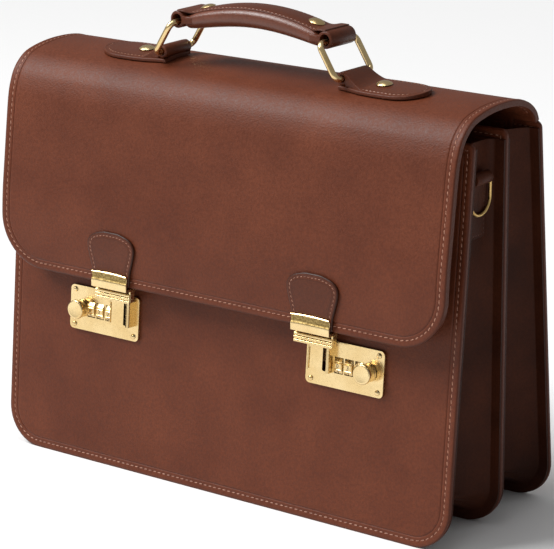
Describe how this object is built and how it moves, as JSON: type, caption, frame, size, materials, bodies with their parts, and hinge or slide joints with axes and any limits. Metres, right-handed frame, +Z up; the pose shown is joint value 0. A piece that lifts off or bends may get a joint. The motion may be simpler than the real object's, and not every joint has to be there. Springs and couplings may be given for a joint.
{
  "type": "leather document case",
  "caption": "Upright leather document case with two gusseted compartments under a long front flap, brass combination locks, a padded handle on brass rings and a ring on each side.",
  "frame": {"origin": "middle of the divider panel's bottom edge, on the surface that the case stands on", "axes": "+X to the right side seen from the front, along the width; +Y from the front to the back; +Z up"},
  "size_m": [0.41, 0.1504, 0.3578],
  "materials": {
    "leather": "waxed, satin",
    "dark_leather": "satin",
    "brass": "polished"
  },
  "bodies": {
    "case": {"front_panel": "leather", "divider_panel": "leather", "back_panel": "leather", "flap": "leather", "clasp_tab_left": "leather", "clasp_tab_right": "leather", "handle_base_left": "leather", "handle_base_right": "leather", "front_gusset": "dark_leather", "rear_gusset": "dark_leather", "side_tab_left": "dark_leather", "side_tab_right": "dark_leather", "lock_body_left": "brass", "plate_rivet_left_1": "brass", "plate_rivet_left_2": "brass", "plate_rivet_left_3": "brass", "hasp_cap_left": "brass", "hasp_left": "brass", "base_rivet_left": "brass", "lock_body_right": "brass", "plate_rivet_right_1": "brass", "plate_rivet_right_2": "brass", "plate_rivet_right_3": "brass", "hasp_cap_right": "brass", "hasp_right": "brass", "base_rivet_right": "brass"},
    "dial_left_1": {"dial_left_1": "brass"},
    "dial_left_2": {"dial_left_2": "brass"},
    "dial_left_3": {"dial_left_3": "brass"},
    "lock_knob_left": {"lock_knob_left": "brass"},
    "side_ring_left": {"side_ring_left": "brass"},
    "dial_right_1": {"dial_right_1": "brass"},
    "dial_right_2": {"dial_right_2": "brass"},
    "dial_right_3": {"dial_right_3": "brass"},
    "lock_knob_right": {"lock_knob_right": "brass"},
    "side_ring_right": {"side_ring_right": "brass"},
    "handle_ring_left": {"handle_ring_left": "brass"},
    "handle_ring_right": {"handle_ring_right": "brass"},
    "grip": {"handle_grip": "leather", "handle_loop_left": "leather", "handle_loop_right": "leather", "grip_rivet_left": "brass", "grip_rivet_right": "brass"}
  },
  "joints": [
    {"name": "dial_left_1_turn", "type": "hinge", "parent": "case", "child": "dial_left_1", "pos_m": [-0.10625, -0.05708, 0.1177], "axis": [1, 0, 0], "continuous": true},
    {"name": "dial_left_2_turn", "type": "hinge", "parent": "case", "child": "dial_left_2", "pos_m": [-0.11505, -0.05708, 0.1177], "axis": [1, 0, 0], "continuous": true},
    {"name": "dial_left_3_turn", "type": "hinge", "parent": "case", "child": "dial_left_3", "pos_m": [-0.12385, -0.05708, 0.1177], "axis": [1, 0, 0], "continuous": true},
    {"name": "lock_knob_left_slide", "type": "slide", "parent": "case", "child": "lock_knob_left", "axis": [-1, 0, 0], "range_m": [0, 0.004], "stiffness_N_per_m": 300, "springref_m": -0.003},
    {"name": "side_ring_left_swing", "type": "hinge", "parent": "case", "child": "side_ring_left", "pos_m": [-0.19725, -0.0249, 0.2605], "axis": [0, 1, 0], "range_deg": [0, 120]},
    {"name": "dial_right_1_turn", "type": "hinge", "parent": "case", "child": "dial_right_1", "pos_m": [0.10625, -0.05708, 0.1177], "axis": [1, 0, 0], "continuous": true},
    {"name": "dial_right_2_turn", "type": "hinge", "parent": "case", "child": "dial_right_2", "pos_m": [0.11505, -0.05708, 0.1177], "axis": [1, 0, 0], "continuous": true},
    {"name": "dial_right_3_turn", "type": "hinge", "parent": "case", "child": "dial_right_3", "pos_m": [0.12385, -0.05708, 0.1177], "axis": [1, 0, 0], "continuous": true},
    {"name": "lock_knob_right_slide", "type": "slide", "parent": "case", "child": "lock_knob_right", "axis": [1, 0, 0], "range_m": [0, 0.004], "stiffness_N_per_m": 300, "springref_m": -0.003},
    {"name": "side_ring_right_swing", "type": "hinge", "parent": "case", "child": "side_ring_right", "pos_m": [0.19725, -0.0249, 0.2605], "axis": [0, -1, 0], "range_deg": [0, 120]},
    {"name": "handle_ring_left_turn", "type": "hinge", "parent": "case", "child": "handle_ring_left", "pos_m": [-0.078, -0.017, 0.31718], "axis": [0, 1, 0], "range_deg": [-8, 8]},
    {"name": "grip_turn", "type": "hinge", "parent": "handle_ring_left", "child": "grip", "pos_m": [-0.063, -0.017, 0.34119], "axis": [0, 1, 0], "range_deg": [-12, 12]},
    {"name": "handle_ring_right_turn", "type": "hinge", "parent": "case", "child": "handle_ring_right", "pos_m": [0.085, -0.017, 0.31718], "axis": [0, 1, 0], "range_deg": [-10, 10]}
  ],
  "couplings": [
    {"joint": "grip_turn", "follows": "handle_ring_left_turn", "ratio": -1.2256},
    {"joint": "handle_ring_right_turn", "follows": "handle_ring_left_turn", "ratio": 1}
  ]
}
